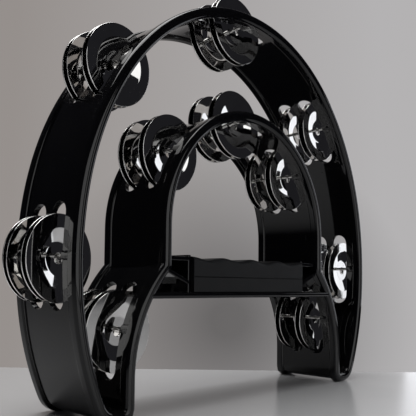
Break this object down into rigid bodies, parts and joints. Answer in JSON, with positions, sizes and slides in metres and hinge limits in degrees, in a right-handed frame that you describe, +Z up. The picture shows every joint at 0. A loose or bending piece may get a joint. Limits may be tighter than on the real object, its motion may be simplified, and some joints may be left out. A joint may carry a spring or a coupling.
{
  "type": "tambourine",
  "caption": "Cutaway hand tambourine: a moulded double arch on two feet, a hand bar across it, and two rows of paired jingles on pins.",
  "frame": {"origin": "centre of the object's width and depth, on the level that the feet stand on", "axes": "+X to the player's right across the arch, +Y from the front face to the rear face along the pins, +Z up to the crown"},
  "size_m": [0.291, 0.052, 0.2452],
  "materials": {
    "frame_plastic": "polished black moulding",
    "grip_rubber": "fine matt texture",
    "pin_steel": "drawn wire",
    "jingle_nickel": "bright nickel plate"
  },
  "bodies": {
    "frame": {"frame": "frame_plastic", "grip_cover": "grip_rubber", "pin_crown": "pin_steel", "pin_shoulder_right": "pin_steel", "pin_shoulder_left": "pin_steel", "pin_side_right": "pin_steel", "pin_side_left": "pin_steel", "pin_inner_crown": "pin_steel", "pin_inner_right": "pin_steel", "pin_inner_left": "pin_steel", "pin_leg_right": "pin_steel", "pin_leg_left": "pin_steel"},
    "crown_front_a": {"jingle_crown_front_a": "jingle_nickel"},
    "crown_front_b": {"jingle_crown_front_b": "jingle_nickel"},
    "crown_rear_a": {"jingle_crown_rear_a": "jingle_nickel"},
    "crown_rear_b": {"jingle_crown_rear_b": "jingle_nickel"},
    "shoulder_right_front_a": {"jingle_shoulder_right_front_a": "jingle_nickel"},
    "shoulder_right_front_b": {"jingle_shoulder_right_front_b": "jingle_nickel"},
    "shoulder_right_rear_a": {"jingle_shoulder_right_rear_a": "jingle_nickel"},
    "shoulder_right_rear_b": {"jingle_shoulder_right_rear_b": "jingle_nickel"},
    "shoulder_left_front_a": {"jingle_shoulder_left_front_a": "jingle_nickel"},
    "shoulder_left_front_b": {"jingle_shoulder_left_front_b": "jingle_nickel"},
    "shoulder_left_rear_a": {"jingle_shoulder_left_rear_a": "jingle_nickel"},
    "shoulder_left_rear_b": {"jingle_shoulder_left_rear_b": "jingle_nickel"},
    "side_right_front_a": {"jingle_side_right_front_a": "jingle_nickel"},
    "side_right_front_b": {"jingle_side_right_front_b": "jingle_nickel"},
    "side_right_rear_a": {"jingle_side_right_rear_a": "jingle_nickel"},
    "side_right_rear_b": {"jingle_side_right_rear_b": "jingle_nickel"},
    "side_left_front_a": {"jingle_side_left_front_a": "jingle_nickel"},
    "side_left_front_b": {"jingle_side_left_front_b": "jingle_nickel"},
    "side_left_rear_a": {"jingle_side_left_rear_a": "jingle_nickel"},
    "side_left_rear_b": {"jingle_side_left_rear_b": "jingle_nickel"},
    "inner_crown_front_a": {"jingle_inner_crown_front_a": "jingle_nickel"},
    "inner_crown_front_b": {"jingle_inner_crown_front_b": "jingle_nickel"},
    "inner_crown_rear_a": {"jingle_inner_crown_rear_a": "jingle_nickel"},
    "inner_crown_rear_b": {"jingle_inner_crown_rear_b": "jingle_nickel"},
    "inner_right_front_a": {"jingle_inner_right_front_a": "jingle_nickel"},
    "inner_right_front_b": {"jingle_inner_right_front_b": "jingle_nickel"},
    "inner_right_rear_a": {"jingle_inner_right_rear_a": "jingle_nickel"},
    "inner_right_rear_b": {"jingle_inner_right_rear_b": "jingle_nickel"},
    "inner_left_front_a": {"jingle_inner_left_front_a": "jingle_nickel"},
    "inner_left_front_b": {"jingle_inner_left_front_b": "jingle_nickel"},
    "inner_left_rear_a": {"jingle_inner_left_rear_a": "jingle_nickel"},
    "inner_left_rear_b": {"jingle_inner_left_rear_b": "jingle_nickel"},
    "leg_right_front_a": {"jingle_leg_right_front_a": "jingle_nickel"},
    "leg_right_front_b": {"jingle_leg_right_front_b": "jingle_nickel"},
    "leg_right_rear_a": {"jingle_leg_right_rear_a": "jingle_nickel"},
    "leg_right_rear_b": {"jingle_leg_right_rear_b": "jingle_nickel"},
    "leg_left_front_a": {"jingle_leg_left_front_a": "jingle_nickel"},
    "leg_left_front_b": {"jingle_leg_left_front_b": "jingle_nickel"},
    "leg_left_rear_a": {"jingle_leg_left_rear_a": "jingle_nickel"},
    "leg_left_rear_b": {"jingle_leg_left_rear_b": "jingle_nickel"}
  },
  "joints": [
    {"name": "slide_crown_front_a", "type": "slide", "parent": "frame", "child": "crown_front_a", "axis": [0, 1, 0], "range_m": [-0.0027, 0]},
    {"name": "slide_crown_front_b", "type": "slide", "parent": "frame", "child": "crown_front_b", "axis": [0, 1, 0], "range_m": [0, 0.0027]},
    {"name": "slide_crown_rear_a", "type": "slide", "parent": "frame", "child": "crown_rear_a", "axis": [0, 1, 0], "range_m": [-0.0027, 0]},
    {"name": "slide_crown_rear_b", "type": "slide", "parent": "frame", "child": "crown_rear_b", "axis": [0, 1, 0], "range_m": [0, 0.0027]},
    {"name": "slide_shoulder_right_front_a", "type": "slide", "parent": "frame", "child": "shoulder_right_front_a", "axis": [0, 1, 0], "range_m": [-0.0027, 0]},
    {"name": "slide_shoulder_right_front_b", "type": "slide", "parent": "frame", "child": "shoulder_right_front_b", "axis": [0, 1, 0], "range_m": [0, 0.0027]},
    {"name": "slide_shoulder_right_rear_a", "type": "slide", "parent": "frame", "child": "shoulder_right_rear_a", "axis": [0, 1, 0], "range_m": [-0.0027, 0]},
    {"name": "slide_shoulder_right_rear_b", "type": "slide", "parent": "frame", "child": "shoulder_right_rear_b", "axis": [0, 1, 0], "range_m": [0, 0.0027]},
    {"name": "slide_shoulder_left_front_a", "type": "slide", "parent": "frame", "child": "shoulder_left_front_a", "axis": [0, 1, 0], "range_m": [-0.0027, 0]},
    {"name": "slide_shoulder_left_front_b", "type": "slide", "parent": "frame", "child": "shoulder_left_front_b", "axis": [0, 1, 0], "range_m": [0, 0.0027]},
    {"name": "slide_shoulder_left_rear_a", "type": "slide", "parent": "frame", "child": "shoulder_left_rear_a", "axis": [0, 1, 0], "range_m": [-0.0027, 0]},
    {"name": "slide_shoulder_left_rear_b", "type": "slide", "parent": "frame", "child": "shoulder_left_rear_b", "axis": [0, 1, 0], "range_m": [0, 0.0027]},
    {"name": "slide_side_right_front_a", "type": "slide", "parent": "frame", "child": "side_right_front_a", "axis": [0, 1, 0], "range_m": [-0.0027, 0]},
    {"name": "slide_side_right_front_b", "type": "slide", "parent": "frame", "child": "side_right_front_b", "axis": [0, 1, 0], "range_m": [0, 0.0027]},
    {"name": "slide_side_right_rear_a", "type": "slide", "parent": "frame", "child": "side_right_rear_a", "axis": [0, 1, 0], "range_m": [-0.0027, 0]},
    {"name": "slide_side_right_rear_b", "type": "slide", "parent": "frame", "child": "side_right_rear_b", "axis": [0, 1, 0], "range_m": [0, 0.0027]},
    {"name": "slide_side_left_front_a", "type": "slide", "parent": "frame", "child": "side_left_front_a", "axis": [0, 1, 0], "range_m": [-0.0027, 0]},
    {"name": "slide_side_left_front_b", "type": "slide", "parent": "frame", "child": "side_left_front_b", "axis": [0, 1, 0], "range_m": [0, 0.0027]},
    {"name": "slide_side_left_rear_a", "type": "slide", "parent": "frame", "child": "side_left_rear_a", "axis": [0, 1, 0], "range_m": [-0.0027, 0]},
    {"name": "slide_side_left_rear_b", "type": "slide", "parent": "frame", "child": "side_left_rear_b", "axis": [0, 1, 0], "range_m": [0, 0.0027]},
    {"name": "slide_inner_crown_front_a", "type": "slide", "parent": "frame", "child": "inner_crown_front_a", "axis": [0, 1, 0], "range_m": [-0.0027, 0]},
    {"name": "slide_inner_crown_front_b", "type": "slide", "parent": "frame", "child": "inner_crown_front_b", "axis": [0, 1, 0], "range_m": [0, 0.0027]},
    {"name": "slide_inner_crown_rear_a", "type": "slide", "parent": "frame", "child": "inner_crown_rear_a", "axis": [0, 1, 0], "range_m": [-0.0027, 0]},
    {"name": "slide_inner_crown_rear_b", "type": "slide", "parent": "frame", "child": "inner_crown_rear_b", "axis": [0, 1, 0], "range_m": [0, 0.0027]},
    {"name": "slide_inner_right_front_a", "type": "slide", "parent": "frame", "child": "inner_right_front_a", "axis": [0, 1, 0], "range_m": [-0.0027, 0]},
    {"name": "slide_inner_right_front_b", "type": "slide", "parent": "frame", "child": "inner_right_front_b", "axis": [0, 1, 0], "range_m": [0, 0.0027]},
    {"name": "slide_inner_right_rear_a", "type": "slide", "parent": "frame", "child": "inner_right_rear_a", "axis": [0, 1, 0], "range_m": [-0.0027, 0]},
    {"name": "slide_inner_right_rear_b", "type": "slide", "parent": "frame", "child": "inner_right_rear_b", "axis": [0, 1, 0], "range_m": [0, 0.0027]},
    {"name": "slide_inner_left_front_a", "type": "slide", "parent": "frame", "child": "inner_left_front_a", "axis": [0, 1, 0], "range_m": [-0.0027, 0]},
    {"name": "slide_inner_left_front_b", "type": "slide", "parent": "frame", "child": "inner_left_front_b", "axis": [0, 1, 0], "range_m": [0, 0.0027]},
    {"name": "slide_inner_left_rear_a", "type": "slide", "parent": "frame", "child": "inner_left_rear_a", "axis": [0, 1, 0], "range_m": [-0.0027, 0]},
    {"name": "slide_inner_left_rear_b", "type": "slide", "parent": "frame", "child": "inner_left_rear_b", "axis": [0, 1, 0], "range_m": [0, 0.0027]},
    {"name": "slide_leg_right_front_a", "type": "slide", "parent": "frame", "child": "leg_right_front_a", "axis": [0, 1, 0], "range_m": [-0.0027, 0]},
    {"name": "slide_leg_right_front_b", "type": "slide", "parent": "frame", "child": "leg_right_front_b", "axis": [0, 1, 0], "range_m": [0, 0.0027]},
    {"name": "slide_leg_right_rear_a", "type": "slide", "parent": "frame", "child": "leg_right_rear_a", "axis": [0, 1, 0], "range_m": [-0.0027, 0]},
    {"name": "slide_leg_right_rear_b", "type": "slide", "parent": "frame", "child": "leg_right_rear_b", "axis": [0, 1, 0], "range_m": [0, 0.0027]},
    {"name": "slide_leg_left_front_a", "type": "slide", "parent": "frame", "child": "leg_left_front_a", "axis": [0, 1, 0], "range_m": [-0.0027, 0]},
    {"name": "slide_leg_left_front_b", "type": "slide", "parent": "frame", "child": "leg_left_front_b", "axis": [0, 1, 0], "range_m": [0, 0.0027]},
    {"name": "slide_leg_left_rear_a", "type": "slide", "parent": "frame", "child": "leg_left_rear_a", "axis": [0, 1, 0], "range_m": [-0.0027, 0]},
    {"name": "slide_leg_left_rear_b", "type": "slide", "parent": "frame", "child": "leg_left_rear_b", "axis": [0, 1, 0], "range_m": [0, 0.0027]}
  ]
}
